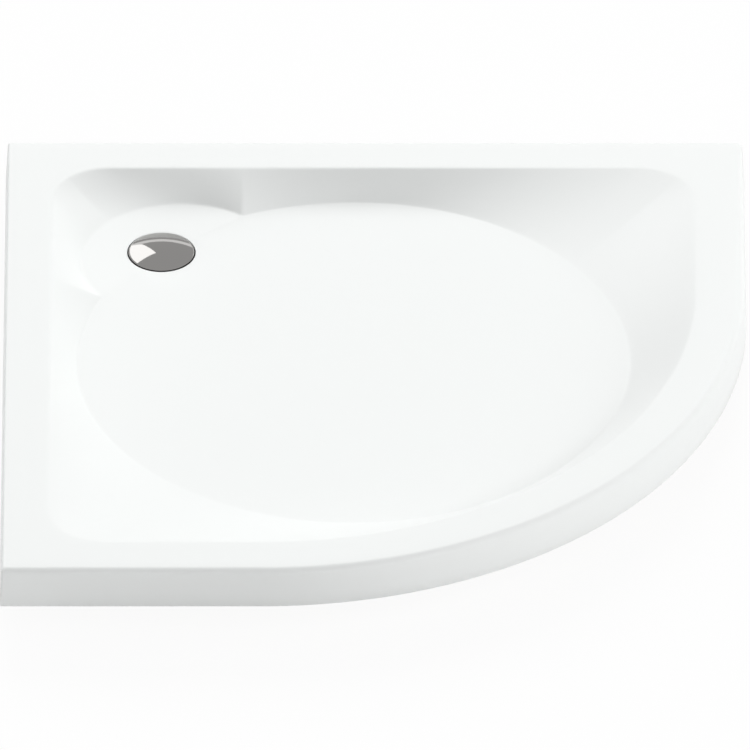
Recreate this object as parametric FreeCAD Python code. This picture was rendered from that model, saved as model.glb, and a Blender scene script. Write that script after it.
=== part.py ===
import FreeCAD, Part
import math
import os

Vector = FreeCAD.Vector
UP = Vector(0, 0, 1)
BACKWARDS = Vector(0, 1, 0)

# Tray outline, in mm. The rim is the top, and the floor of the room is at height 0.
TRAY_SIDE = 900.0
FRONT_RADIUS = 587.0
APRON_HEIGHT = 52.0
APRON_FLARE = 2.8
FRONT_EDGE_RADIUS = 8.0
WALL_EDGE_RADIUS = 3.0

# Bowl. Runs are the plan lengths of the sloping walls between the rim and the floor.
WALL_RIM = 55.0
FRONT_RIM = 58.5
BOWL_CORNER_RADIUS = 70.0
BOWL_DEPTH = 29.0
BACK_RUN = 32.0
FRONT_RUN = 35.0
PIT_RADIUS = 122.0
PIT_RUN = 35.0
FLOOR_FALL = 3.0
FOLD_ANGLE = 37.0
CURVE_START_ANGLE = 11.0

# Waste pan, sunk into the floor nearer to the wall corner than the pit's centre
WASTE_SHIFT = 23.0
PAN_GAP = 2.5
PAN_DEPTH = 6.0
WASTE_HOLE_GAP = 2.4

# Layers of the tray
SHEET = 4.5
LAMINATE = 2.5
LAMINATE_APRON_GAP = 12.0
BOARD = 12.0
BOARD_MARGIN = 22.0
TRAP_OPENING_GAP = 8.0
BOARD_BORE_CLEARANCE = 1.0

# Feet
FOOT_MARGIN = 13.0
FOOT_ANGLES = (-45.0, 45.0, 80.0, 190.0, 225.0)
SOCKET_RADIUS = 32.0
SOCKET_PLATE = 4.0
SOCKET_BOSS_RADIUS = 15.0
SOCKET_BOSS_LENGTH = 14.0
SPINDLE_RADIUS = 6.0
SPINDLE_HEADROOM = 2.0
THREAD_CLEARANCE = 0.1
LOCK_NUT_FLATS = 19.0
LOCK_NUT_HEIGHT = 7.0
SPANNER_FLATS = 17.0
SPANNER_HEIGHT = 6.0
JOURNAL_RADIUS = 5.0
JOURNAL_CLEARANCE = 0.05
PAD_RADIUS = 30.0
PAD_RIM_HEIGHT = 5.0
PAD_HUB_RADIUS = 12.0
PAD_HEIGHT = 11.0
PAD_FLOOR = 4.0
SCREWS_PER_SOCKET = 4
SCREW_RADIUS = 2.0
SCREW_HEAD_RADIUS = 3.9
SCREW_HEAD_HEIGHT = 2.2
SCREW_TIP_COVER = 3.0
SCREW_CLEARANCE = 0.05

# Waste flange and its gaskets
GASKET = 1.0
FLANGE_GAP = 4.0
FLANGE_PLATE = 2.0
FLANGE_TUBE_RADIUS = 28.6
FLANGE_TUBE_WALL = 3.0
FLANGE_TUBE_LENGTH = 18.0
BODY_GASKET = 2.0

# Trap body and its outlet
TRAP_RADIUS = 48.0
TRAP_WALL = 2.5
TRAP_FLOOR_GAP = 4.0
TRAP_TOP_PLATE = 3.0
NECK_WALL = 3.3
NECK_LENGTH = 10.0
NECK_CLEARANCE = 0.1
SPIGOT_RADIUS = 20.0
SPIGOT_WALL = 2.5
SPIGOT_LENGTH = 48.0
SPIGOT_FLANGE = 3.0
SPIGOT_FLANGE_MARGIN = 0.5
SPIGOT_RELIEF = 0.3
DRAIN_PIPE_WALL = 2.0
DRAIN_PIPE_GAP = 1.0
OUTLET_THREAD_STEP = 2.0
OUTLET_TUBE_LENGTH = 18.0
OUTLET_SEAL = 2.0
UNION_NUT_WALL = 3.5
UNION_NUT_FLOOR_GAP = 2.5
UNION_NUT_TRAY_GAP = 4.5
UNION_NUT_GRIP = 14.0
UNION_NUT_LIP = 3.0
UNION_NUT_FLUTES = 12
UNION_FLUTE_RADIUS = 2.0
UNION_CLEARANCE = 0.05

# Removable insert: dip tube, seal cup and ring
LIP_WIDTH = 4.0
LIP_HEIGHT = 1.0
COLLAR_CLEARANCE = 0.4
COLLAR_WALL = 3.7
COLLAR_LENGTH = 10.0
TAPER_LENGTH = 5.0
DIP_TUBE_RADIUS = 17.0
DIP_TUBE_WALL = 1.6
DIP_GAP = 4.0
THROAT_RING_RADIUS = 1.0
CUP_CLEARANCE = 0.6
CUP_WALL = 1.8
CUP_BASE = 2.0
CUP_FLOOR_GAP = 2.5
CUP_HEIGHT = 29.0
RIB_COUNT = 3
RIB_WIDTH = 2.5
RIB_TURN = 60.0
CUP_RIB_HEIGHT = 18.0
BOSS_RADIUS = 8.0
BOSS_HEIGHT = 7.0
BOSS_RECESS = 2.0
SEAT_GAP = 0.05

# Domed waste cover
CAP_RADIUS = 41.5
CAP_RISE = 6.0
CAP_LIP = 2.0
CAP_SHEET = 1.6
CAP_GAP = 2.0
STEM_RADIUS = 6.0
PLUG_RADIUS = 4.0
PLUG_CLEARANCE = 0.05

# Radii that follow from these sizes
PAN_RADIUS = CAP_RADIUS + PAN_GAP
FLANGE_RADIUS = PAN_RADIUS - FLANGE_GAP
FLANGE_BORE = FLANGE_TUBE_RADIUS - FLANGE_TUBE_WALL
WASTE_HOLE_RADIUS = FLANGE_TUBE_RADIUS + WASTE_HOLE_GAP
COLLAR_RADIUS = FLANGE_BORE - COLLAR_CLEARANCE
LIP_RADIUS = FLANGE_BORE + LIP_WIDTH
OUTLET_BORE_RADIUS = SPIGOT_RADIUS - SPIGOT_WALL
OUTLET_THREAD_RADIUS = SPIGOT_RADIUS + OUTLET_THREAD_STEP
SPIGOT_FLANGE_RADIUS = OUTLET_THREAD_RADIUS - SPIGOT_FLANGE_MARGIN
UNION_NUT_RADIUS = OUTLET_THREAD_RADIUS + UNION_NUT_WALL
SCREW_CIRCLE = (SOCKET_RADIUS + SOCKET_BOSS_RADIUS) / 2

# The feet lift the tray until the outlet's union nut fits below it and the drain pipe passes under the apron.
LAYERS = SHEET + LAMINATE
OUTLET_HEIGHT = UNION_NUT_FLOOR_GAP + UNION_NUT_RADIUS
NUT_SPACE = OUTLET_HEIGHT + UNION_NUT_RADIUS + UNION_NUT_TRAY_GAP
PIPE_SPACE = OUTLET_HEIGHT + SPIGOT_RADIUS + DRAIN_PIPE_WALL + DRAIN_PIPE_GAP
FOOT_RISE = max(NUT_SPACE - (APRON_HEIGHT - BOWL_DEPTH - FLOOR_FALL - LAYERS), PIPE_SPACE)
OUTLET_TUBE_REACH = TRAP_RADIUS + OUTLET_TUBE_LENGTH

# Heights that follow from these sizes
Z_RIM = FOOT_RISE + APRON_HEIGHT
Z_FLOOR = Z_RIM - BOWL_DEPTH
Z_SEAT = Z_FLOOR - FLOOR_FALL
Z_PAN = Z_SEAT - PAN_DEPTH
Z_BOARD = Z_FLOOR - LAYERS - BOARD
Z_SOCKET = Z_BOARD - SOCKET_PLATE
Z_BOSS = Z_SOCKET - SOCKET_BOSS_LENGTH
Z_SCREW_TIP = Z_BOARD + BOARD - SCREW_TIP_COVER
Z_FLANGE = Z_PAN + GASKET + FLANGE_PLATE
Z_STEM_SEAT = Z_FLANGE - BOSS_RECESS
Z_CAP = Z_FLANGE + CAP_GAP
Z_CAP_EDGE = Z_CAP + CAP_LIP
Z_TRAP = Z_PAN - LAYERS - BODY_GASKET
Z_CUP = TRAP_FLOOR_GAP + TRAP_WALL + CUP_FLOOR_GAP
Z_DIP = Z_CUP + CUP_BASE + DIP_GAP

# Plan places that follow from these sizes, as distances from both walls
RIM_LOW = WALL_RIM
RIM_HIGH = TRAY_SIDE - FRONT_RIM
ARC_CENTRE = TRAY_SIDE - FRONT_RADIUS
DIAGONAL = math.sqrt(2)
BOWL_DIAGONAL = ARC_CENTRE * DIAGONAL + FRONT_RADIUS - FRONT_RIM - FRONT_RUN
FLOOR_RADIUS = (BOWL_DIAGONAL - (RIM_LOW + BACK_RUN) * DIAGONAL) / (1 + DIAGONAL)
FLOOR_CENTRE = RIM_LOW + BACK_RUN + FLOOR_RADIUS
PIT_CENTRE = RIM_LOW + PIT_RUN + PIT_RADIUS
WASTE_CENTRE = PIT_CENTRE - WASTE_SHIFT
BOARD_RADIUS = FLOOR_RADIUS - BOARD_MARGIN
FOOT_CIRCLE = BOARD_RADIUS - SOCKET_RADIUS - FOOT_MARGIN

# Spare length of cutting shapes past the surfaces that they cut, and slack when edges are told apart
OVERCUT = 20.0
SLACK = 0.01


# A point given by its distances from the left wall and from the back wall.
def place(from_left, from_back, z):
    return Vector(from_left - TRAY_SIDE / 2, TRAY_SIDE / 2 - from_back, z)


# An arc in plan about a centre given by its distances from the walls. Angles turn from right to front.
def arc_edge(from_left, from_back, radius, start, end, z):
    points = []
    for degrees in (start, (start + end) / 2, end):
        across = radius * math.cos(math.radians(degrees))
        down = radius * math.sin(math.radians(degrees))
        points.append(place(from_left + across, from_back + down, z))
    return Part.Arc(*points).toShape()


# An arc whose centre lies on the tray's diagonal, equally far from both walls.
def circle_edge(centre, radius, start, end, z):
    return arc_edge(centre, centre, radius, start, end, z)


def line_edge(start, end):
    return Part.LineSegment(start, end).toShape()


def closed_solid(faces):
    shell = Part.makeShell(faces)
    shell.sewShape()
    solid = Part.makeSolid(shell)
    if solid.Volume < 0:
        solid.reverse()
    return solid


def cylinder(radius, z_low, z_high, axis):
    return Part.makeCylinder(radius, z_high - z_low, Vector(axis.x, axis.y, z_low))


def ring(outer, inner, z_low, z_high, axis):
    return cylinder(outer, z_low, z_high, axis).cut(cylinder(inner, z_low, z_high, axis))


def hexagon(across_flats, z_low, z_high, axis):
    reach = across_flats / math.sqrt(3)
    points = []
    for corner in range(7):
        angle = math.radians(60 * corner)
        points.append(Vector(axis.x + reach * math.cos(angle), axis.y + reach * math.sin(angle), z_low))
    return Part.Face(Part.makePolygon(points)).extrude(UP * (z_high - z_low))


# A turned solid from a closed profile of radius and height pairs.
def turned(profile, axis):
    points = [Vector(axis.x + radius, axis.y, z) for radius, z in profile]
    face = Part.Face(Part.makePolygon(points + points[:1]))
    return face.revolve(Vector(axis.x, axis.y, 0), UP, 360)


def flare_at(z):
    return APRON_FLARE * (Z_RIM - z) / APRON_HEIGHT


# The tray's outline at one height, moved in by an inset, as its five corners in order.
def outline(inset, z):
    low = inset - flare_at(z)
    high = TRAY_SIDE - low
    corners = ((low, low), (high, low), (high, ARC_CENTRE), (ARC_CENTRE, high), (low, high))
    return [place(left, back, z) for left, back in corners]


def outline_face(inset, z):
    back_left, back_right, right_end, front_end, front_left = outline(inset, z)
    radius = FRONT_RADIUS - inset + flare_at(z)
    edges = [
        line_edge(back_left, back_right),
        line_edge(back_right, right_end),
        circle_edge(ARC_CENTRE, radius, 0, 90, z),
        line_edge(front_end, front_left),
        line_edge(front_left, back_left),
    ]
    return Part.Face(Part.Wire(edges))


# A block with the tray's flared outline between two heights.
def flared_block(inset, z_low, z_high):
    low = outline(inset, z_low)
    high = outline(inset, z_high)
    faces = [outline_face(inset, z_low), outline_face(inset, z_high)]
    for first, second in ((0, 1), (1, 2), (3, 4), (4, 0)):
        corners = [low[first], low[second], high[second], high[first], low[first]]
        faces.append(Part.Face(Part.makePolygon(corners)))
    arc_start = line_edge(low[2], high[2])
    faces.append(arc_start.revolve(place(ARC_CENTRE, ARC_CENTRE, 0), UP, -90))
    return closed_solid(faces)


# Top edges of a block, told apart by which sides of the tray they run along.
def rim_edges(block, exposed):
    corner = place(0, 0, Z_RIM)
    edges = []
    for edge in block.Edges:
        box = edge.BoundBox
        if box.ZMin < Z_RIM - SLACK:
            continue
        on_wall = box.XMax < corner.x + SLACK or box.YMin > corner.y - SLACK
        if on_wall != exposed:
            edges.append(edge)
    return edges


# Where the pit's circle crosses the floor's circle near the back wall, as left and back distances.
def cusp():
    spacing = (FLOOR_CENTRE - PIT_CENTRE) * DIAGONAL
    along = (spacing ** 2 + PIT_RADIUS ** 2 - FLOOR_RADIUS ** 2) / (2 * spacing)
    across = math.sqrt(PIT_RADIUS ** 2 - along ** 2)
    return (PIT_CENTRE + (along + across) / DIAGONAL, PIT_CENTRE + (along - across) / DIAGONAL)


def angle_from(centre, point):
    return math.degrees(math.atan2(point[1] - centre, point[0] - centre))


# The bowl's walls and floor as pairs of rim and floor edges, in order round the bowl. The sloping walls
# and the gentle fall to the waste pan are straight between the edges of each pair.
def bowl_core():
    near_back = cusp()
    floor_start = angle_from(FLOOR_CENTRE, near_back)
    pit_end = angle_from(PIT_CENTRE, near_back) + 360
    along = near_back[0]
    rim = [
        (along, RIM_LOW), (RIM_HIGH, RIM_LOW), (RIM_HIGH, ARC_CENTRE), (ARC_CENTRE, RIM_HIGH),
        (RIM_LOW, RIM_HIGH), (RIM_LOW, along), (RIM_LOW, RIM_LOW), (along, RIM_LOW),
    ]
    floor_angles = [floor_start, -FOLD_ANGLE, -CURVE_START_ANGLE, 90 + CURVE_START_ANGLE,
                    90 + FOLD_ANGLE, 90 - floor_start]
    pit_angles = [450 - pit_end, 225, pit_end]
    floor_edges = []
    for start, end in zip(floor_angles, floor_angles[1:]):
        floor_edges.append(circle_edge(FLOOR_CENTRE, FLOOR_RADIUS, start, end, Z_FLOOR))
    for start, end in zip(pit_angles, pit_angles[1:]):
        floor_edges.append(circle_edge(PIT_CENTRE, PIT_RADIUS, start, end, Z_FLOOR))
    faces = []
    top_edges = []
    pan_edges = []
    for index, floor_edge in enumerate(floor_edges):
        start = place(*rim[index], Z_RIM)
        end = place(*rim[index + 1], Z_RIM)
        rim_edge = line_edge(start, end)
        if rim[index] == (RIM_HIGH, ARC_CENTRE):
            rim_edge = circle_edge(ARC_CENTRE, RIM_HIGH - ARC_CENTRE, 0, 90, Z_RIM)
        top_edge = rim_edge.translated(UP * OVERCUT)
        top_edges.append(top_edge)
        faces.append(rim_edge.extrude(UP * OVERCUT))
        faces.append(Part.makeRuledSurface(rim_edge, floor_edge))
        turns = []
        for vertex in (floor_edge.firstVertex(), floor_edge.lastVertex()):
            turns.append(math.degrees(math.atan2(WASTE.y - vertex.Y, vertex.X - WASTE.x)))
        if turns[1] < turns[0]:
            turns[1] += 360
        pan_edge = circle_edge(WASTE_CENTRE, PAN_RADIUS, turns[0], turns[1], Z_SEAT)
        pan_edges.append(pan_edge)
        faces.append(Part.makeRuledSurface(floor_edge, pan_edge))
    faces.append(Part.Face(Part.Wire(top_edges)))
    faces.append(Part.Face(Part.Wire(pan_edges)))
    return closed_solid(faces)


# A prism with the bowl's rounded rim outline, moved out by an outset.
def rim_prism(outset):
    z = Z_PAN - OVERCUT
    low = RIM_LOW - outset
    high = RIM_HIGH + outset
    near = RIM_LOW + BOWL_CORNER_RADIUS
    far = RIM_HIGH - BOWL_CORNER_RADIUS
    corner = BOWL_CORNER_RADIUS + outset
    edges = [
        line_edge(place(near, low, z), place(far, low, z)),
        arc_edge(far, near, corner, -90, 0, z),
        line_edge(place(high, near, z), place(high, ARC_CENTRE, z)),
        circle_edge(ARC_CENTRE, high - ARC_CENTRE, 0, 90, z),
        line_edge(place(ARC_CENTRE, high, z), place(near, high, z)),
        arc_edge(near, far, corner, 90, 180, z),
        line_edge(place(low, far, z), place(low, near, z)),
        circle_edge(near, corner, 180, 270, z),
    ]
    return Part.Face(Part.Wire(edges)).extrude(UP * (Z_RIM + 2 * OVERCUT - z))


WASTE = place(WASTE_CENTRE, WASTE_CENTRE, 0)
FLOOR_AXIS = place(FLOOR_CENTRE, FLOOR_CENTRE, 0)


# The bowl as a cutting shape: walls, floor and waste pan, with rounded corners at the rim.
def bowl(outset):
    shape = bowl_core().common(rim_prism(outset))
    return shape.fuse(cylinder(PAN_RADIUS + outset, Z_PAN, Z_SEAT + outset, WASTE))


# All the space under a layer of the tray: below the sheet, or below the sheet and the laminate.
def underside(depth):
    block = flared_block(depth, FOOT_RISE - OVERCUT, Z_RIM - depth)
    return block.cut(bowl(depth).translated(UP * -depth))


def waste_hole():
    return cylinder(WASTE_HOLE_RADIUS, FOOT_RISE, Z_RIM, WASTE)


# The formed sheet: flared apron and sides, flat rim, bowl, floor and waste pan.
def tray_shell():
    block = flared_block(0, FOOT_RISE, Z_RIM)
    block = block.makeFillet(FRONT_EDGE_RADIUS, rim_edges(block, True))
    block = block.makeFillet(WALL_EDGE_RADIUS, rim_edges(block, False))
    return block.cut(bowl(0)).cut(underside(SHEET)).cut(waste_hole())


# The laminate under the sheet stops short of the apron's lower edge.
def glass_fibre_backing():
    layer = underside(SHEET).cut(underside(LAYERS))
    below = flared_block(0, FOOT_RISE - OVERCUT, FOOT_RISE + LAMINATE_APRON_GAP)
    return layer.cut(below).cut(waste_hole())


def foot_places():
    places = [FLOOR_AXIS]
    for degrees in FOOT_ANGLES:
        angle = math.radians(degrees)
        places.append(FLOOR_AXIS + Vector(math.cos(angle), math.sin(angle), 0) * FOOT_CIRCLE)
    return places


def screw_places(foot):
    places = []
    for index in range(SCREWS_PER_SOCKET):
        angle = 2 * math.pi * (index + 0.5) / SCREWS_PER_SOCKET
        places.append(foot + Vector(math.cos(angle), math.sin(angle), 0) * SCREW_CIRCLE)
    return places


# The board under the floor, cut away round the trap and bored for the spindles and screws.
def base_board():
    board = cylinder(BOARD_RADIUS, Z_BOARD, Z_FLOOR, FLOOR_AXIS)
    board = board.common(underside(LAYERS))
    board = board.cut(cylinder(TRAP_RADIUS + TRAP_OPENING_GAP, Z_BOARD, Z_FLOOR, WASTE))
    for foot in foot_places():
        bore = SPINDLE_RADIUS + BOARD_BORE_CLEARANCE
        board = board.cut(cylinder(bore, Z_BOARD, Z_FLOOR, foot))
        for axis in screw_places(foot):
            board = board.cut(screw(axis, SCREW_CLEARANCE))
    return board


# A countersunk screw, or the hole for one, driven upwards into the board.
def screw(axis, clearance):
    shank = SCREW_RADIUS + clearance
    head = SCREW_HEAD_RADIUS + clearance
    neck = Z_SOCKET + SCREW_HEAD_HEIGHT
    tip = Z_SCREW_TIP + clearance
    return turned([(0, Z_SOCKET), (head, Z_SOCKET), (shank, neck), (shank, tip), (0, tip)], axis)


def socket_screws():
    screws = []
    for foot in foot_places():
        for axis in screw_places(foot):
            screws.append(screw(axis, 0))
    return Part.makeCompound(screws)


# A round plastic socket under the board, with a boss that takes the spindle.
def foot_socket(foot):
    plate = cylinder(SOCKET_RADIUS, Z_SOCKET, Z_BOARD, foot)
    boss = cylinder(SOCKET_BOSS_RADIUS, Z_BOSS, Z_BOARD, foot)
    socket = plate.fuse(boss).removeSplitter()
    socket = socket.cut(cylinder(SPINDLE_RADIUS + THREAD_CLEARANCE, Z_BOSS, Z_BOARD, foot))
    for axis in screw_places(foot):
        socket = socket.cut(screw(axis, SCREW_CLEARANCE))
    return socket


def lock_nut(foot):
    low = Z_BOSS - LOCK_NUT_HEIGHT
    nut = hexagon(LOCK_NUT_FLATS, low, Z_BOSS, foot)
    return nut.cut(cylinder(SPINDLE_RADIUS + THREAD_CLEARANCE, low, Z_BOSS, foot))


# A spindle with a journal that turns in the pad, a hexagon for the spanner and a long thread.
def foot_spindle(foot):
    top = Z_SEAT - LAYERS - SPINDLE_HEADROOM
    journal = cylinder(JOURNAL_RADIUS, PAD_FLOOR, PAD_HEIGHT, foot)
    spanner = hexagon(SPANNER_FLATS, PAD_HEIGHT, PAD_HEIGHT + SPANNER_HEIGHT, foot)
    thread = cylinder(SPINDLE_RADIUS, PAD_HEIGHT + SPANNER_HEIGHT, top, foot)
    return journal.fuse([spanner, thread]).removeSplitter()


# A round pad with a hub that the spindle stands in.
def foot_pad(foot):
    profile = [
        (0, 0), (PAD_RADIUS, 0), (PAD_RADIUS, PAD_RIM_HEIGHT),
        (PAD_HUB_RADIUS, PAD_HEIGHT), (0, PAD_HEIGHT),
    ]
    bore = cylinder(JOURNAL_RADIUS + JOURNAL_CLEARANCE, PAD_FLOOR, PAD_HEIGHT, foot)
    return turned(profile, foot).cut(bore)


# The flange in the waste pan, with a threaded tube down through the tray and a ledge for the insert.
def waste_flange():
    low = Z_FLANGE - FLANGE_PLATE
    plate = cylinder(FLANGE_RADIUS, low, Z_FLANGE, WASTE)
    tube = cylinder(FLANGE_TUBE_RADIUS, low - FLANGE_TUBE_LENGTH, Z_FLANGE, WASTE)
    flange = plate.fuse(tube).removeSplitter()
    flange = flange.cut(cylinder(FLANGE_BORE, low - FLANGE_TUBE_LENGTH, Z_FLANGE, WASTE))
    return flange.cut(cylinder(LIP_RADIUS + COLLAR_CLEARANCE, Z_FLANGE - LIP_HEIGHT, Z_FLANGE, WASTE))


def flange_gasket():
    return ring(FLANGE_RADIUS, WASTE_HOLE_RADIUS, Z_PAN, Z_PAN + GASKET, WASTE)


def body_gasket():
    return ring(TRAP_RADIUS, WASTE_HOLE_RADIUS, Z_TRAP, Z_TRAP + BODY_GASKET, WASTE)


def outlet_cylinder(radius, start, end):
    base = Vector(WASTE.x, WASTE.y + start, OUTLET_HEIGHT)
    return Part.makeCylinder(radius, end - start, base, BACKWARDS)


# The low trap: a round chamber with a threaded neck under the tray and an outlet towards the back wall.
def trap_body():
    chamber = TRAP_RADIUS - TRAP_WALL
    chamber_low = TRAP_FLOOR_GAP + TRAP_WALL
    chamber_high = Z_TRAP - TRAP_TOP_PLATE
    neck = FLANGE_TUBE_RADIUS + NECK_CLEARANCE
    body = cylinder(TRAP_RADIUS, TRAP_FLOOR_GAP, Z_TRAP, WASTE)
    tube = outlet_cylinder(OUTLET_THREAD_RADIUS, 0, OUTLET_TUBE_REACH)
    body = body.fuse(tube.cut(cylinder(TRAP_RADIUS, Z_TRAP, Z_RIM, WASTE)))
    body = body.cut(cylinder(chamber, chamber_low, chamber_high, WASTE))
    body = body.cut(outlet_cylinder(OUTLET_BORE_RADIUS, 0, OUTLET_TUBE_REACH))
    body = body.fuse(cylinder(neck + NECK_WALL, Z_TRAP - NECK_LENGTH, Z_TRAP, WASTE))
    return body.cut(cylinder(neck, Z_TRAP - NECK_LENGTH, Z_TRAP, WASTE)).removeSplitter()


def outlet_seal():
    start = OUTLET_TUBE_REACH
    end = start + OUTLET_SEAL
    seal = outlet_cylinder(SPIGOT_FLANGE_RADIUS, start, end)
    return seal.cut(outlet_cylinder(OUTLET_BORE_RADIUS, start, end))


# The pipe end: a flange that the union nut holds, a relieved neck inside the nut's lip, and a plain spigot
# for the drain pipe.
def outlet_spigot():
    start = OUTLET_TUBE_REACH + OUTLET_SEAL
    shoulder = start + SPIGOT_FLANGE
    plain = shoulder + UNION_NUT_LIP
    end = plain + SPIGOT_LENGTH
    flange = outlet_cylinder(SPIGOT_FLANGE_RADIUS, start, shoulder)
    neck = outlet_cylinder(SPIGOT_RADIUS - SPIGOT_RELIEF, shoulder, plain)
    spigot = flange.fuse([neck, outlet_cylinder(SPIGOT_RADIUS, plain, end)])
    return spigot.cut(outlet_cylinder(OUTLET_BORE_RADIUS, start, end)).removeSplitter()


# The union nut over the outlet's thread, with flutes for the hand.
def union_nut():
    shoulder = OUTLET_TUBE_REACH + OUTLET_SEAL + SPIGOT_FLANGE
    start = OUTLET_TUBE_REACH - UNION_NUT_GRIP
    end = shoulder + UNION_NUT_LIP
    nut = outlet_cylinder(UNION_NUT_RADIUS, start, end)
    nut = nut.cut(outlet_cylinder(OUTLET_THREAD_RADIUS + UNION_CLEARANCE, start, shoulder))
    nut = nut.cut(outlet_cylinder(SPIGOT_RADIUS + UNION_CLEARANCE, start, end))
    for index in range(UNION_NUT_FLUTES):
        angle = 2 * math.pi * index / UNION_NUT_FLUTES
        offset = Vector(math.cos(angle), 0, math.sin(angle)) * UNION_NUT_RADIUS
        nut = nut.cut(outlet_cylinder(UNION_FLUTE_RADIUS, start, end).translated(offset))
    return nut


# Ribs that stand out from an axis like spokes, between two radii.
def ribs(inner, outer, z_low, z_high):
    hub = cylinder(inner, z_low, z_high, WASTE)
    rim = cylinder(outer, z_low, z_high, WASTE)
    spokes = []
    for index in range(RIB_COUNT):
        spoke = Part.makeBox(outer, RIB_WIDTH, z_high - z_low, Vector(0, -RIB_WIDTH / 2, z_low))
        spoke = spoke.rotated(Vector(0, 0, 0), UP, 360 * index / RIB_COUNT + RIB_TURN)
        spokes.append(spoke.translated(WASTE).common(rim).cut(hub))
    return spokes


# The insert that lifts out: a lip on the flange's ledge, a collar with a ring groove, a tapering throat,
# the dip tube, and a spoked boss for the cover's stem.
def dip_tube():
    lip_low = Z_FLANGE - LIP_HEIGHT
    collar_low = Z_FLANGE - COLLAR_LENGTH
    tube_high = collar_low - TAPER_LENGTH
    bore = DIP_TUBE_RADIUS - DIP_TUBE_WALL
    throat = COLLAR_RADIUS - COLLAR_WALL
    tube = turned([
        (throat, Z_FLANGE), (LIP_RADIUS, Z_FLANGE), (LIP_RADIUS, lip_low), (COLLAR_RADIUS, lip_low),
        (COLLAR_RADIUS, collar_low), (DIP_TUBE_RADIUS, tube_high), (DIP_TUBE_RADIUS, Z_DIP),
        (bore, Z_DIP), (bore, tube_high), (throat, collar_low),
    ], WASTE)
    boss_low = Z_STEM_SEAT - BOSS_HEIGHT
    boss = cylinder(BOSS_RADIUS, boss_low, Z_STEM_SEAT, WASTE)
    spokes = ribs(BOSS_RADIUS - RIB_WIDTH / 2, throat + RIB_WIDTH / 2, boss_low, Z_STEM_SEAT)
    tube = tube.fuse([boss] + spokes).removeSplitter()
    tube = tube.cut(cylinder(PLUG_RADIUS + PLUG_CLEARANCE, boss_low, Z_STEM_SEAT, WASTE))
    return tube.cut(throat_ring(THROAT_RING_RADIUS + SEAT_GAP))


# A round ring in the collar's groove, which reaches out to the flange's bore.
def throat_ring(section):
    reach = FLANGE_BORE - SEAT_GAP - THROAT_RING_RADIUS
    middle = Vector(WASTE.x, WASTE.y, Z_FLANGE - COLLAR_LENGTH / 2)
    return Part.makeTorus(reach, section, middle, UP)


# The cup round the dip tube, held to it by ribs. It keeps the water that seals the drain.
def seal_cup():
    outer = FLANGE_BORE - CUP_CLEARANCE
    inner = outer - CUP_WALL
    high = Z_CUP + CUP_HEIGHT
    cup = cylinder(outer, Z_CUP, high, WASTE).cut(cylinder(inner, Z_CUP + CUP_BASE, high, WASTE))
    spokes = ribs(DIP_TUBE_RADIUS + SEAT_GAP, inner + CUP_WALL / 2, high - CUP_RIB_HEIGHT, high)
    return cup.fuse(spokes).removeSplitter()


# A shallow dome on the waste's axis, by its radius and the height of its edge.
def dome(radius, z_edge):
    sphere_radius = (radius ** 2 + CAP_RISE ** 2) / (2 * CAP_RISE)
    sphere = Part.makeSphere(sphere_radius, Vector(WASTE.x, WASTE.y, z_edge + CAP_RISE - sphere_radius))
    return sphere.common(cylinder(radius, z_edge, z_edge + CAP_RISE, WASTE))


# The space under the cover, inside its dome and its lip.
def cap_hollow():
    inner = CAP_RADIUS - CAP_SHEET
    edge = Z_CAP_EDGE - CAP_SHEET
    return dome(inner, edge).fuse(cylinder(inner, Z_CAP, edge, WASTE)).removeSplitter()


# The chromed cover: a shallow dome of thin sheet with a turned-down lip.
def waste_cap():
    outside = dome(CAP_RADIUS, Z_CAP_EDGE).fuse(cylinder(CAP_RADIUS, Z_CAP, Z_CAP_EDGE, WASTE))
    return outside.removeSplitter().cut(cap_hollow())


# The stem under the cover: a post bonded inside the dome, and a plug that drops into the boss.
def cap_stem():
    post = cylinder(STEM_RADIUS, Z_CAP, Z_CAP_EDGE + CAP_RISE, WASTE).common(cap_hollow())
    shoulder = cylinder(STEM_RADIUS, Z_STEM_SEAT, Z_CAP, WASTE)
    plug = cylinder(PLUG_RADIUS, Z_STEM_SEAT - BOSS_HEIGHT, Z_STEM_SEAT, WASTE)
    return post.fuse([shoulder, plug]).removeSplitter()


def write(name, shape):
    shape.exportStep("parts/" + name + ".step")
    print(name, shape.isValid(), len(shape.Solids), round(shape.Volume))


os.makedirs("parts", exist_ok=True)
write("tray_shell", tray_shell())
write("glass_fibre_backing", glass_fibre_backing())
write("base_board", base_board())
write("socket_screws", socket_screws())
for number, foot in enumerate(foot_places(), 1):
    write("foot_socket_" + str(number), foot_socket(foot))
    write("lock_nut_" + str(number), lock_nut(foot))
    write("foot_spindle_" + str(number), foot_spindle(foot))
    write("foot_pad_" + str(number), foot_pad(foot))
write("waste_flange", waste_flange())
write("flange_gasket", flange_gasket())
write("body_gasket", body_gasket())
write("trap_body", trap_body())
write("outlet_seal", outlet_seal())
write("outlet_spigot", outlet_spigot())
write("union_nut", union_nut())
write("dip_tube", dip_tube())
write("throat_seal", throat_ring(THROAT_RING_RADIUS))
write("seal_cup", seal_cup())
write("waste_cap", waste_cap())
write("cap_stem", cap_stem())
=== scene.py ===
import bmesh
import bpy
import math
import numpy as np
from mathutils import Matrix, Vector


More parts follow.
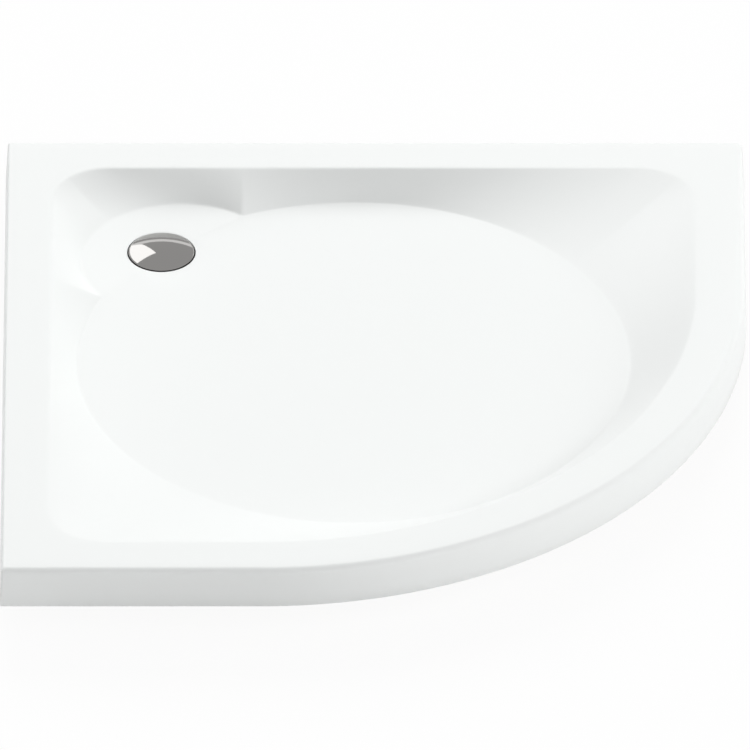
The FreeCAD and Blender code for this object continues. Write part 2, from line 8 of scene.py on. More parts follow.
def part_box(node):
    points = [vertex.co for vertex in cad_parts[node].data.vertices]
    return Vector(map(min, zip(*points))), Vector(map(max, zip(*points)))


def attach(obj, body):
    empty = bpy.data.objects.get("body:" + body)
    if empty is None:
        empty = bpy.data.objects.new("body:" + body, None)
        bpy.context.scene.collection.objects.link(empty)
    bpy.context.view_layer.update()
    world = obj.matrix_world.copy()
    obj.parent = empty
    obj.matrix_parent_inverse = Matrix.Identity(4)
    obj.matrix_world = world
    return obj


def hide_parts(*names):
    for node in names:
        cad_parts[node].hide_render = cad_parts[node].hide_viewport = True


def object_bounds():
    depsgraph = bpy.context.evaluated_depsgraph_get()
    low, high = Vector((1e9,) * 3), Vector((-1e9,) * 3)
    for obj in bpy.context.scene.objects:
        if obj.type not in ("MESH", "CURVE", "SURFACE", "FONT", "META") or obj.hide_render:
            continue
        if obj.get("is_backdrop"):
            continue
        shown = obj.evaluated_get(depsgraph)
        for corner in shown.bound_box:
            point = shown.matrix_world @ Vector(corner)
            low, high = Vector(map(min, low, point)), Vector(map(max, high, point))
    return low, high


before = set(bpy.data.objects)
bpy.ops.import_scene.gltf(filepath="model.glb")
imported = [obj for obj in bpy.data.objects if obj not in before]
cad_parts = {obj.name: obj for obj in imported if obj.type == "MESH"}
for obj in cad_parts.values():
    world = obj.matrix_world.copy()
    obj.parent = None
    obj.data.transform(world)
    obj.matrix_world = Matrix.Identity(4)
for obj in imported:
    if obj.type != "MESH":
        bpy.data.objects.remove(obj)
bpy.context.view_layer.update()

# Tray shell
# One sheet of white cast acrylic, warmed and drawn down over a mould, so each fold and edge is a soft
# round. Rim, bowl, floor, waste pan and apron are all the one sheet, the only large piece in view.
MM = 0.001
SIDE = 900.0
FRONT_RADIUS = 587.0
FLARE = 2.8
SHEET = 4.5
shell_low, shell_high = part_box("tray_shell")
RIM_Z = shell_high.z / MM
APRON_Z = shell_low.z / MM
APRON_HEIGHT = RIM_Z - APRON_Z
FLOOR_Z = RIM_Z - 29.0
SEAT_Z = FLOOR_Z - 3.0
PAN_Z = SEAT_Z - 6.0
RIM_LOW = 55.0
RIM_HIGH = SIDE - 58.5
ARC_CENTRE = SIDE - FRONT_RADIUS
CORNER_RADIUS = 70.0
FLOOR_CENTRE, FLOOR_RADIUS = 423.82, 336.82
PIT_CENTRE, PIT_RADIUS = 212.0, 122.0
WASTE_CENTRE, PAN_RADIUS, PAN_OUTSIDE, WASTE_HOLE = 189.0, 41.8, 48.5, 31.0
CUSP = (287.18, 115.93)
FOLD_ANGLE, CURVE_ANGLE = 37.0, 11.0
WALL_ROUND, FRONT_ROUND, PLAN_ROUND = 3.0, 8.0, 2.5
RIM_SOFT, FLOOR_SOFT = 3.2, 3.0
FOLD_TOP, FOLD_FOOT, FOLD_PAN, FOLD_BELOW = 2.5, 6.5, 1.0, 4.0
PAN_EDGE, HOLE_EDGE = 0.5, 0.5


def angle_at(centre, point):
    return math.degrees(math.atan2(point[1] - centre, point[0] - centre))


# Places between 0 and 1 along a stretch, closer together near its ends by the given share.
def spread(count, crowding):
    x = np.arange(count) / count
    return x - crowding * np.sin(2 * math.pi * x) / (2 * math.pi)


def on_circle(centre, radius, degrees):
    turn = np.radians(degrees)
    return np.stack([centre + radius * np.cos(turn), centre + radius * np.sin(turn)], axis=1)


def between(start, end, share):
    return np.outer(1 - share, start) + np.outer(share, end)


# The bowl goes round in seven stretches. Each has its edge at the rim, the floor's edge below it, the
# tray's outer edge beside it, and where it looks towards on the waste pan. Distances are from the left
# and back walls.
floor_start = angle_at(FLOOR_CENTRE, CUSP)
pit_end = angle_at(PIT_CENTRE, CUSP)
along = CUSP[0]
rim_corners = [(along, RIM_LOW), (RIM_HIGH, RIM_LOW), (RIM_HIGH, ARC_CENTRE), (ARC_CENTRE, RIM_HIGH),
               (RIM_LOW, RIM_HIGH), (RIM_LOW, along), (RIM_LOW, RIM_LOW), (along, RIM_LOW)]
outer_corners = [(along, 0), (SIDE, 0), (SIDE, ARC_CENTRE), (ARC_CENTRE, SIDE),
                 (0, SIDE), (0, along), (0, 0), (along, 0)]
floor_turns = [floor_start, -FOLD_ANGLE, -CURVE_ANGLE, 90 + CURVE_ANGLE, 90 + FOLD_ANGLE, 90 - floor_start]
pit_turns = [90 - pit_end, 225, 360 + pit_end]
floor_arcs = [(FLOOR_CENTRE, FLOOR_RADIUS, a, b) for a, b in zip(floor_turns, floor_turns[1:])]
floor_arcs += [(PIT_CENTRE, PIT_RADIUS, a, b) for a, b in zip(pit_turns, pit_turns[1:])]
stretch_counts = (96, 60, 150, 60, 96, 52, 52)
crowdings = (0.88, 0.8, 0.0, 0.8, 0.88, 0.8, 0.8)
FRONT_STRETCH, EXPOSED_STRETCHES = 2, (1, 2, 3)
rim_line, floor_line, outer_line, pan_turns, exposed = [], [], [], [], []
for index, count in enumerate(stretch_counts):
    share = spread(count, crowdings[index])
    centre, radius, start, end = floor_arcs[index]
    floor_line.append(on_circle(centre, radius, start + (end - start) * share))
    if index == FRONT_STRETCH:
        rim_line.append(on_circle(ARC_CENTRE, RIM_HIGH - ARC_CENTRE, 90 * share))
        outer_line.append(on_circle(ARC_CENTRE, FRONT_RADIUS, 90 * share))
    else:
        rim_line.append(between(rim_corners[index], rim_corners[index + 1], share))
        outer_line.append(between(outer_corners[index], outer_corners[index + 1], share))
    ends = on_circle(centre, radius, np.array([start, end]))
    turns = [angle_at(WASTE_CENTRE, point) for point in ends]
    if turns[1] < turns[0]:
        turns[1] += 360
    pan_turns.append(turns[0] + (turns[1] - turns[0]) * share)
    exposed.append(np.full(count, 1.0 if index in EXPOSED_STRETCHES else 0.0))
rim_line, floor_line, outer_line = (np.concatenate(line) for line in (rim_line, floor_line, outer_line))
pan_turns, exposed = np.concatenate(pan_turns), np.concatenate(exposed)
stations = len(rim_line)

# The rim's inner corners are rounded in plan, so near a corner a wall starts nearer to the floor.
rim_edge = rim_line.copy()
rim_out = np.zeros_like(rim_line)
wall_start = np.zeros(stations)
for i, (start, end) in enumerate(zip(rim_line, floor_line)):
    front = start - ARC_CENTRE
    if min(front) >= 0:
        rim_out[i] = front / np.linalg.norm(front)
        continue
    sides = [np.array(side, float) for side in ((0, -1), (1, 0), (0, 1), (-1, 0))]
    gaps = [abs(start[1] - RIM_LOW), abs(start[0] - RIM_HIGH),
            abs(start[1] - RIM_HIGH), abs(start[0] - RIM_LOW)]
    rim_out[i] = sides[int(np.argmin(gaps))]
    near, far = RIM_LOW + CORNER_RADIUS, RIM_HIGH - CORNER_RADIUS
    for corner, sign in (((far, near), (1, -1)), ((near, far), (-1, 1)), ((near, near), (-1, -1))):
        offset = start - np.array(corner)
        if offset[0] * sign[0] > 0 and offset[1] * sign[1] > 0:
            way = end - start
            a, b, c = way @ way, 2 * offset @ way, offset @ offset - CORNER_RADIUS ** 2
            wall_start[i] = max(0.0, (-b - math.sqrt(max(0.0, b * b - 4 * a * c))) / (2 * a))
            rim_edge[i] = start + way * wall_start[i]
            reach = rim_edge[i] - np.array(corner)
            rim_out[i] = reach / np.linalg.norm(reach)


# Points in plan at one height or at a height for each station, as rows of three.
def at_height(plan, z):
    return np.column_stack([plan, np.broadcast_to(z, len(plan))])


# A point nearer to a line than this, in millimetres, counts as lying on it.
TOUCH = 1e-6


# The tray's outline moved in from the wall sides and from the exposed sides, its corners just rounded.
def outer_ring(wall_inset, front_inset, wall_z, front_z):
    weight = exposed.copy()
    high = SIDE - front_inset
    rows = wall_inset + outer_line * (high - wall_inset) / SIDE
    bend = outer_line.min(axis=1) > ARC_CENTRE - TOUCH
    spokes = outer_line[bend] - ARC_CENTRE
    spokes /= np.linalg.norm(spokes, axis=1)[:, None]
    rows[bend] = ARC_CENTRE + spokes * (FRONT_RADIUS - front_inset)
    for corner, facing in (((high, wall_inset), (-1, 1)), ((wall_inset, high), (1, -1)),
                           ((wall_inset, wall_inset), (1, 1))):
        offset = (rows - corner) * facing
        run = offset.max(axis=1)
        for i in np.nonzero((run < PLAN_ROUND) & (offset.min(axis=1) < TOUCH))[0]:
            turn = math.pi / 4 * (1 - run[i] / PLAN_ROUND)
            bow = np.array([1 - math.sin(turn), 1 - math.cos(turn)]) * PLAN_ROUND
            if offset[i][0] < offset[i][1]:
                bow = bow[::-1]
            rows[i] = np.array(corner) + bow * facing
            if facing[0] != facing[1]:
                weight[i] = 0.5 + (weight[i] - 0.5) * run[i] / PLAN_ROUND
    return at_height(rows, wall_z + (front_z - wall_z) * weight)


# A soft round between two surfaces: from one place, past two guiding places, to another.
def soft_round(start, guide, second_guide, end, steps):
    rings = []
    for t in np.linspace(0, 1, steps):
        rings.append(start * (1 - t) ** 3 + guide * 3 * t * (1 - t) ** 2
                     + second_guide * 3 * t * t * (1 - t) + end * t ** 3)
    return rings


# Evens a ring out along its own length, which rounds the folds and ridges that cross it.
def evened(ring, width):
    steps = np.linalg.norm(np.roll(ring, -1, axis=0) - ring, axis=1)
    place = np.concatenate([[0], np.cumsum(steps)[:-1]])
    length = steps.sum()
    gap = np.abs(place[:, None] - place[None, :])
    gap = np.minimum(gap, length - gap)
    weight = np.clip(1 - gap / width, 0, None) * (steps + np.roll(steps, 1))[None, :]
    return weight @ ring / weight.sum(axis=1)[:, None]


# The wall at a share of its way down. By a rounded corner it first falls faster, and soon joins the flat
# slopes that meet in the fold.
def wall_at(share):
    plan = rim_edge + (floor_line - rim_edge) * share[:, None]
    sunk = wall_start + (1 - wall_start) * share - wall_start * (1 - share) ** 3
    return at_height(plan, RIM_Z - (RIM_Z - FLOOR_Z) * sunk)


wall_head = at_height(rim_edge, RIM_Z)
wall_foot = at_height(floor_line, FLOOR_Z)
wall_length = np.linalg.norm(wall_foot - wall_head, axis=1)
head_share, foot_share = RIM_SOFT / wall_length, 1 - FLOOR_SOFT / wall_length
rim_lip = at_height(rim_edge + rim_out * RIM_SOFT, RIM_Z)
head, foot = wall_at(head_share), wall_at(foot_share)
pan_line = on_circle(WASTE_CENTRE, PAN_RADIUS + PAN_EDGE, pan_turns)
pan_edge = at_height(pan_line, SEAT_Z)
floor_way = pan_edge - wall_foot
floor_length = np.linalg.norm(floor_way, axis=1)
floor_lip = wall_foot + floor_way * (FLOOR_SOFT / floor_length)[:, None]

rings = [outer_ring(1.0 - FLARE, 1.0 - FLARE, APRON_Z, APRON_Z),
         outer_ring(0.3 - FLARE, 0.3 - FLARE, APRON_Z + 0.3, APRON_Z + 0.3),
         outer_ring(-FLARE, -FLARE, APRON_Z + 1, APRON_Z + 1)]
for share in (0.35, 0.7):
    flare = FLARE * (1 - share)
    height = APRON_Z + APRON_HEIGHT * share
    rings.append(outer_ring(-flare, -flare, height, height))
for degrees in (0, 12, 25, 40, 55, 70, 80, 90):
    turn = math.radians(degrees)
    wall_drop, front_drop = WALL_ROUND * (1 - math.sin(turn)), FRONT_ROUND * (1 - math.sin(turn))
    flare_wall, flare_front = FLARE * wall_drop / APRON_HEIGHT, FLARE * front_drop / APRON_HEIGHT
    rings.append(outer_ring(WALL_ROUND * (1 - math.cos(turn)) - flare_wall,
                            FRONT_ROUND * (1 - math.cos(turn)) - flare_front,
                            RIM_Z - wall_drop, RIM_Z - front_drop))
rim_top = rings[-1]
for share in (0.3, 0.7):
    rings.append(rim_top + (rim_lip - rim_top) * share)
for ring in soft_round(rim_lip, (rim_lip + wall_head * 2) / 3, (head + wall_head * 2) / 3, head, 7):
    rings.append(evened(ring, FOLD_TOP))
for step in np.linspace(0, 1, 15)[1:-1]:
    wall = wall_at(head_share + (foot_share - head_share) * step)
    rings.append(evened(wall, FOLD_TOP + (FOLD_FOOT - FOLD_TOP) * step))
for ring in soft_round(foot, (foot + wall_foot * 2) / 3, (floor_lip + wall_foot * 2) / 3, floor_lip, 7):
    rings.append(evened(ring, FOLD_FOOT))
floor_rim = rings[-1]
for step in np.linspace(0, 1, 13)[1:]:
    rings.append(evened(floor_rim + (pan_edge - floor_rim) * step, FOLD_FOOT * (1 - step) + FOLD_PAN))
# Over the waste pan's edge, down to its hole and back along the underside.
pan_profile = [(PAN_RADIUS + 0.2, SEAT_Z - 0.08), (PAN_RADIUS + 0.06, SEAT_Z - 0.25),
               (PAN_RADIUS, SEAT_Z - PAN_EDGE), (PAN_RADIUS, PAN_Z + 1.5),
               (PAN_RADIUS - 0.5, PAN_Z + 0.4), (PAN_RADIUS - 1.6, PAN_Z),
               (WASTE_HOLE + HOLE_EDGE, PAN_Z), (WASTE_HOLE, PAN_Z - HOLE_EDGE),
               (WASTE_HOLE, PAN_Z - SHEET), (PAN_OUTSIDE, PAN_Z - SHEET), (PAN_OUTSIDE, SEAT_Z - SHEET)]
for radius, z in pan_profile:
    rings.append(at_height(on_circle(WASTE_CENTRE, radius, pan_turns), z))
below = np.array([0, 0, -SHEET])
rings.append(evened(wall_foot, FOLD_FOOT) + below)
rings.append(evened(wall_head, FOLD_BELOW) + below)
rings.append(outer_ring(SHEET, SHEET, RIM_Z - SHEET, RIM_Z - SHEET))
rings.append(outer_ring(SHEET - FLARE, SHEET - FLARE, APRON_Z, APRON_Z))
rings.append(rings[0])


# Metres in the tray's frame from distances to the left wall and the back wall in millimetres.
def in_frame(ring):
    return np.column_stack([ring[:, 0] - SIDE / 2, SIDE / 2 - ring[:, 1], ring[:, 2]]) * MM


SMOOTH_ANGLE = math.radians(35)
POINT_GAP = 1e-6


# A closed skin: a circle is laid on the first ring, and its edges are drawn out to each ring in turn.
def skin(name, rings):
    count = len(rings[0])
    bpy.ops.object.select_all(action="DESELECT")
    bpy.ops.mesh.primitive_circle_add(vertices=count, radius=0.1)
    piece = bpy.context.object
    piece.name = piece.data.name = name
    piece.data.attributes.new("station", "INT", "POINT")
    piece.data.attributes["station"].data.foreach_set("value", np.arange(count, dtype=np.int32))
    bpy.ops.object.mode_set(mode="EDIT")
    for level, ring in enumerate(rings):
        if level:
            bpy.ops.mesh.extrude_region_move()
        mesh = bmesh.from_edit_mesh(piece.data)
        station = mesh.verts.layers.int["station"]
        for vertex in mesh.verts:
            if vertex.select:
                vertex.co = ring[vertex[station]]
        bmesh.update_edit_mesh(piece.data)
    bpy.ops.mesh.select_all(action="SELECT")
    bpy.ops.mesh.remove_doubles(threshold=POINT_GAP)
    bpy.ops.mesh.normals_make_consistent(inside=False)
    bpy.ops.object.mode_set(mode="OBJECT")
    piece.data.attributes.remove(piece.data.attributes["station"])
    bpy.ops.object.shade_smooth_by_angle(angle=SMOOTH_ANGLE)
    return piece


shell = skin("tray_sheet", [in_frame(ring) for ring in rings])


# Linear colour from an sRGB hex value.
def colour(hex_value):
    parts = [int(hex_value[i:i + 2], 16) / 255 for i in (0, 2, 4)]
    return [p / 12.92 if p <= 0.04045 else ((p + 0.055) / 1.055) ** 2.4 for p in parts] + [1.0]


# Adds one node with its options, the values of its inputs and the links into them.
def add_node(tree, kind, options={}, values={}, links={}):
    node = tree.nodes.new(kind)
    for name, option in options.items():
        setattr(node, name, option)
    for name, value in values.items():
        node.inputs[name].default_value = value
    for name, socket in links.items():
        tree.links.new(socket, node.inputs[name])
    return node


# A new material whose shader takes the given values. It comes with its nodes, its shader and the place on
# the piece.
def finish_of(name, values):
    material = bpy.data.materials.new(name)
    material.use_nodes = True
    tree = material.node_tree
    tree.nodes.clear()
    shader = add_node(tree, "ShaderNodeBsdfPrincipled", {}, values)
    add_node(tree, "ShaderNodeOutputMaterial", {}, {}, {"Surface": shader.outputs[0]})
    place = add_node(tree, "ShaderNodeTexCoord").outputs["Object"]
    return material, tree, shader, place


# Cast acrylic, drawn over a mould: white, with a soft even gloss that varies over 60 mm, and a faint orange
# peel about 7 mm across.
acrylic, tree, shader, place = finish_of("cast_acrylic", {"IOR": 1.49, "Base Color": colour("f1f3f2")})
peel = add_node(tree, "ShaderNodeTexNoise", {}, {"Scale": 1 / 0.007, "Detail": 1.0}, {"Vector": place})
bump = add_node(tree, "ShaderNodeBump", {}, {"Strength": 0.03, "Distance": 0.0002},
                {"Height": peel.outputs[0]})
tree.links.new(bump.outputs[0], shader.inputs["Normal"])
haze = add_node(tree, "ShaderNodeTexNoise", {}, {"Scale": 1 / 0.06, "Detail": 3.0}, {"Vector": place})
gloss = add_node(tree, "ShaderNodeMapRange", {}, {"To Min": 0.28, "To Max": 0.34},
                 {"Value": haze.outputs[0]})
tree.links.new(gloss.outputs[0], shader.inputs["Roughness"])
shell.data.materials.append(acrylic)
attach(shell, "tray")
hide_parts("tray_shell")

# Glass-fibre backing
# Chopped glass strands in polyester resin, sprayed under the formed sheet and rolled down by hand, which
# stiffens the thin acrylic. It is bonded to the sheet all over and stops short of the apron's lower edge.
STRAND_LENGTH, STRAND_WIDTH = 0.05, 0.003


# A CAD piece whose shape is right keeps that shape and takes the given material.
def dress(name, material):
    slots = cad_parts[name].data.materials
    slots.clear()
    slots.append(material)


# Cured resin has a pale straw colour and a dull gloss. Strands 50 mm long cross in all directions and stand
# out paler. A real strand is about 1 mm wide, and here it is 3 mm wide so that it shows.
laminate, tree, shader, place = finish_of("chopped_strand_laminate", {"IOR": 1.55})
strands = None
for turn in (5, 50, 95, 140):
    lay = add_node(tree, "ShaderNodeMapping", {"vector_type": "TEXTURE"},
                   {"Rotation": (0, 0, math.radians(turn)),
                    "Scale": (STRAND_LENGTH, STRAND_WIDTH, STRAND_WIDTH)}, {"Vector": place})
    strand = add_node(tree, "ShaderNodeTexNoise", {}, {"Scale": 1.0, "Detail": 1.0},
                      {"Vector": lay.outputs[0]})
    under = strands.outputs[0] if strands else strand.outputs[0]
    strands = add_node(tree, "ShaderNodeMath", {"operation": "MAXIMUM"}, {},
                       {0: strand.outputs[0], 1: under})
showing = add_node(tree, "ShaderNodeMapRange", {}, {"From Min": 0.52, "From Max": 0.74},
                   {"Value": strands.outputs[0]})
tone = add_node(tree, "ShaderNodeMix", {"data_type": "RGBA"}, {6: colour("b3ad8c"), 7: colour("d9d6c3")},
                {0: showing.outputs[0]})
tree.links.new(tone.outputs[2], shader.inputs["Base Color"])
gloss = add_node(tree, "ShaderNodeMapRange", {}, {"To Min": 0.32, "To Max": 0.58},
                 {"Value": showing.outputs[0]})
tree.links.new(gloss.outputs[0], shader.inputs["Roughness"])
bump = add_node(tree, "ShaderNodeBump", {}, {"Strength": 0.6, "Distance": 0.0006},
                {"Height": showing.outputs[0]})
tree.links.new(bump.outputs[0], shader.inputs["Normal"])
dress("glass_fibre_backing", laminate)

# Base board
# A round of 12 mm particle board, sawn to shape, cut away round the trap and bonded with resin under the
# floor. It keeps the floor stiff underfoot and gives the screws of the feet a firm hold.
CHIP = 0.005

# Raw particle board: pressed wood chips about 5 mm across in browns that differ from chip to chip, with
# fine fibre in each one and a dry, matt face.
particle_board, tree, shader, place = finish_of("raw_particle_board", {"IOR": 1.5, "Roughness": 0.72})
lay = add_node(tree, "ShaderNodeMapping", {"vector_type": "TEXTURE"},
               {"Rotation": (0, 0, math.radians(30)), "Scale": (CHIP * 1.8, CHIP, CHIP)}, {"Vector": place})
chips = add_node(tree, "ShaderNodeTexVoronoi", {}, {"Scale": 1.0}, {"Vector": lay.outputs[0]})
fibre = add_node(tree, "ShaderNodeTexNoise", {}, {"Scale": 1 / 0.0012, "Detail": 2.0}, {"Vector": place})
mottle = add_node(tree, "ShaderNodeMath", {"operation": "MULTIPLY_ADD"}, {1: 0.35},
                  {0: fibre.outputs[0], 2: chips.outputs["Color"]})
depth = add_node(tree, "ShaderNodeMapRange", {}, {"From Min": 0.3, "From Max": 1.1},
                 {"Value": mottle.outputs[0]})
tone = add_node(tree, "ShaderNodeMix", {"data_type": "RGBA"}, {6: colour("8a6a41"), 7: colour("cdb07e")},
                {0: depth.outputs[0]})
tree.links.new(tone.outputs[2], shader.inputs["Base Color"])
bump = add_node(tree, "ShaderNodeBump", {}, {"Strength": 0.5, "Distance": 0.0004},
                {"Height": mottle.outputs[0]})
tree.links.new(bump.outputs[0], shader.inputs["Normal"])
dress("base_board", particle_board)

# Foot sockets
# Round sockets moulded from black polypropylene, each with a threaded boss that four webs stiffen. They are
# held up under the board by four screws each.
FEET = 6
SOCKET_RADIUS, BOSS_RADIUS, SOCKET_BORE, SOCKET_STEPS = 32.0, 15.0, 6.1, 72
WEB_REACH, WEB_DROP, WEB_THICK, WEB_EDGE = 28.0, 9.0, 2.4, 0.4
socket_low, socket_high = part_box("foot_socket_1")
BOARD_Z, BOSS_Z = socket_high.z / MM, socket_low.z / MM
PLATE_Z = BOARD_Z - 4.0
foot_places = []
for number in range(1, FEET + 1):
    low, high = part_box("foot_socket_" + str(number))
    foot_places.append((low + high) / 2)


# A ring about an upright axis, in metres.
def turned_ring(x, y, radius, z, count):
    turn = np.arange(count) * 2 * math.pi / count
    return np.column_stack([x + radius * np.cos(turn), y + radius * np.sin(turn), np.full(count, z)]) * MM


# Closes what is still open on a piece and turns its faces outwards.
def close_ends(piece):
    bpy.ops.object.select_all(action="DESELECT")
    bpy.context.view_layer.objects.active = piece
    piece.select_set(True)
    bpy.ops.object.mode_set(mode="EDIT")
    bpy.ops.mesh.select_mode(type="EDGE")
    bpy.ops.mesh.select_all(action="DESELECT")
    bpy.ops.mesh.select_non_manifold()
    bpy.ops.mesh.fill_holes(sides=0)
    bpy.ops.mesh.select_all(action="SELECT")
    bpy.ops.mesh.normals_make_consistent(inside=False)
    bpy.ops.object.mode_set(mode="OBJECT")
    bpy.ops.object.shade_smooth_by_angle(angle=SMOOTH_ANGLE)


# A copy with its own mesh, turned about the upright axis and then moved, with its place in the mesh.
def copy_of(model, name, turn, move):
    piece = bpy.data.objects.new(name, model.data.copy())
    piece.data.name = name
    piece.data.transform(Matrix.Translation((move[0], move[1], 0)) @ Matrix.Rotation(turn, 4, "Z"))
    bpy.context.scene.collection.objects.link(piece)
    return piece


# Merges the points of the active piece that lie on one another.
def merge_points():
    bpy.ops.object.mode_set(mode="EDIT")
    bpy.ops.mesh.select_all(action="SELECT")
    bpy.ops.mesh.remove_doubles(threshold=POINT_GAP)
    bpy.ops.object.mode_set(mode="OBJECT")


# Joins pieces into the first one, which keeps its name.
def join(pieces):
    bpy.ops.object.select_all(action="DESELECT")
    for piece in pieces:
        piece.select_set(True)
    bpy.context.view_layer.objects.active = pieces[0]
    bpy.ops.object.join()
    return pieces[0]


profile = [(SOCKET_BORE, BOSS_Z + 0.8), (SOCKET_BORE + 0.8, BOSS_Z), (BOSS_RADIUS - 1.6, BOSS_Z),
           (BOSS_RADIUS - 1.1, BOSS_Z + 0.2), (BOSS_RADIUS - 0.8, BOSS_Z + 0.8),
           (BOSS_RADIUS, PLATE_Z - 2.5), (BOSS_RADIUS + 0.6, PLATE_Z - 0.9),
           (BOSS_RADIUS + 1.6, PLATE_Z - 0.2), (BOSS_RADIUS + 2.6, PLATE_Z),
           (SOCKET_RADIUS - 1.4, PLATE_Z), (SOCKET_RADIUS - 0.5, PLATE_Z + 0.3),
           (SOCKET_RADIUS, PLATE_Z + 1.2), (SOCKET_RADIUS, BOARD_Z), (SOCKET_BORE, BOARD_Z),
           (SOCKET_BORE, BOSS_Z + 0.8)]
socket = skin("socket_model", [turned_ring(0, 0, radius, z, SOCKET_STEPS) for radius, z in profile])
# One web starts as a block that reaches into boss and plate, and is cut off aslant and eased.
web_low, web_high = PLATE_Z - WEB_DROP, PLATE_Z + 0.6
web_middle = Vector(((BOSS_RADIUS + WEB_REACH) / 2 - 1, 0, (web_low + web_high) / 2)) * MM
bpy.ops.object.select_all(action="DESELECT")
bpy.ops.mesh.primitive_cube_add(size=MM, location=web_middle,
                                scale=(WEB_REACH - BOSS_RADIUS + 2, WEB_THICK, web_high - web_low))
web = bpy.context.object
bpy.ops.object.transform_apply(location=True, scale=True)
bpy.ops.object.mode_set(mode="EDIT")
bpy.ops.mesh.select_all(action="SELECT")
bpy.ops.mesh.bisect(plane_co=Vector((WEB_REACH, 0, PLATE_Z - 1)) * MM,
                    plane_no=(WEB_DROP - 1, 0, -(WEB_REACH - BOSS_RADIUS)), use_fill=True, clear_outer=True)
bpy.ops.mesh.select_all(action="SELECT")
bpy.ops.mesh.bevel(offset=WEB_EDGE * MM, segments=2, affect="EDGES")
bpy.ops.object.mode_set(mode="OBJECT")
close_ends(web)
webs = [copy_of(web, "web", quarter * math.pi / 2, (0, 0)) for quarter in range(4)]
bpy.data.objects.remove(web)
socket = join([socket] + webs)

# Black polypropylene: dull, with the fine grain of a spark-eroded mould. A real grain is near 0.2 mm, and
# here it is 0.8 mm so that it shows.
black_plastic, tree, shader, place = finish_of("black_polypropylene",
                                               {"IOR": 1.49, "Base Color": colour("1f2022")})
grain = add_node(tree, "ShaderNodeTexNoise", {}, {"Scale": 1 / 0.0008, "Detail": 2.0}, {"Vector": place})
bump = add_node(tree, "ShaderNodeBump", {}, {"Strength": 0.25, "Distance": 0.0002},
                {"Height": grain.outputs[0]})
tree.links.new(bump.outputs[0], shader.inputs["Normal"])
haze = add_node(tree, "ShaderNodeTexNoise", {}, {"Scale": 1 / 0.02, "Detail": 3.0}, {"Vector": place})
gloss = add_node(tree, "ShaderNodeMapRange", {}, {"To Min": 0.36, "To Max": 0.56},
                 {"Value": haze.outputs[0]})
tree.links.new(gloss.outputs[0], shader.inputs["Roughness"])
socket.data.materials.append(black_plastic)
for number, foot in enumerate(foot_places, 1):
    piece = copy_of(socket, "moulded_socket_" + str(number), 0, foot)
    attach(piece, "tray")
    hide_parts("foot_socket_" + str(number))
bpy.data.objects.remove(socket)

# Socket screws
# Countersunk chipboard screws of zinc-plated steel with a cross recess, driven up through the sockets into
# the board, four to a socket.
SCREW_HEAD, SCREW_SHANK, SCREW_CIRCLE, SCREW_STEPS = 3.9, 2.0, 23.5, 24
RECESS_SIZE, RECESS_MIDDLE = (4.0, 0.9, 2.0), 0.4
SCREW_TIP_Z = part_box("socket_screws")[1].z / MM
# A turned outline stops this far from the axis, and the hole left there is closed.
END_HOLE = 0.3
profile = [(END_HOLE, PLATE_Z - 0.9), (1.6, PLATE_Z - 0.8), (3.0, PLATE_Z - 0.45), (3.7, PLATE_Z - 0.1),
           (SCREW_HEAD, PLATE_Z + 0.15), (SCREW_SHANK, PLATE_Z + 2.2), (SCREW_SHANK, SCREW_TIP_Z - 3.0),
           (END_HOLE, SCREW_TIP_Z)]
screw = skin("screw_model", [turned_ring(0, 0, radius, z, SCREW_STEPS) for radius, z in profile])
close_ends(screw)
recess = []
for turn in (0, math.pi / 2):
    bpy.ops.object.select_all(action="DESELECT")
    bpy.ops.mesh.primitive_cube_add(size=MM, location=(0, 0, (PLATE_Z - RECESS_MIDDLE) * MM),
                                    rotation=(0, 0, turn), scale=RECESS_SIZE)
    bpy.ops.object.transform_apply(location=True, rotation=True, scale=True)
    recess.append(bpy.context.object)
for bar in recess:
    bpy.ops.object.select_all(action="DESELECT")
    bpy.context.view_layer.objects.active = screw
    cut = screw.modifiers.new("recess", "BOOLEAN")
    cut.operation, cut.object = "DIFFERENCE", bar
    bpy.ops.object.modifier_apply(modifier="recess")
    bpy.data.objects.remove(bar)
merge_points()

# Bright zinc plate on steel: a cool grey sheen, cloudy over a few millimetres where the plating dried.
zinc, tree, shader, place = finish_of("zinc_plated_steel", {"Metallic": 1.0})
cloud = add_node(tree, "ShaderNodeTexNoise", {}, {"Scale": 1 / 0.005, "Detail": 4.0}, {"Vector": place})
tone = add_node(tree, "ShaderNodeMix", {"data_type": "RGBA"}, {6: colour("aeb2b8"), 7: colour("d0d3d6")},
                {0: cloud.outputs[0]})
tree.links.new(tone.outputs[2], shader.inputs["Base Color"])
gloss = add_node(tree, "ShaderNodeMapRange", {}, {"To Min": 0.24, "To Max": 0.42},
                 {"Value": cloud.outputs[0]})
tree.links.new(gloss.outputs[0], shader.inputs["Roughness"])
screw.data.materials.append(zinc)
screws = []
reach = SCREW_CIRCLE * MM
for foot in foot_places:
    for quarter in range(4):
        turn = (quarter + 0.5) * math.pi / 2
        # Each of the four came to rest with its recess turned another way.
        stop = turn * 1.7
        screws.append(copy_of(screw, "board_screws", stop,
                              (foot.x + reach * math.cos(turn), foot.y + reach * math.sin(turn))))
bpy.data.objects.remove(screw)
screws = join(screws)
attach(screws, "tray")
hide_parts("socket_screws")

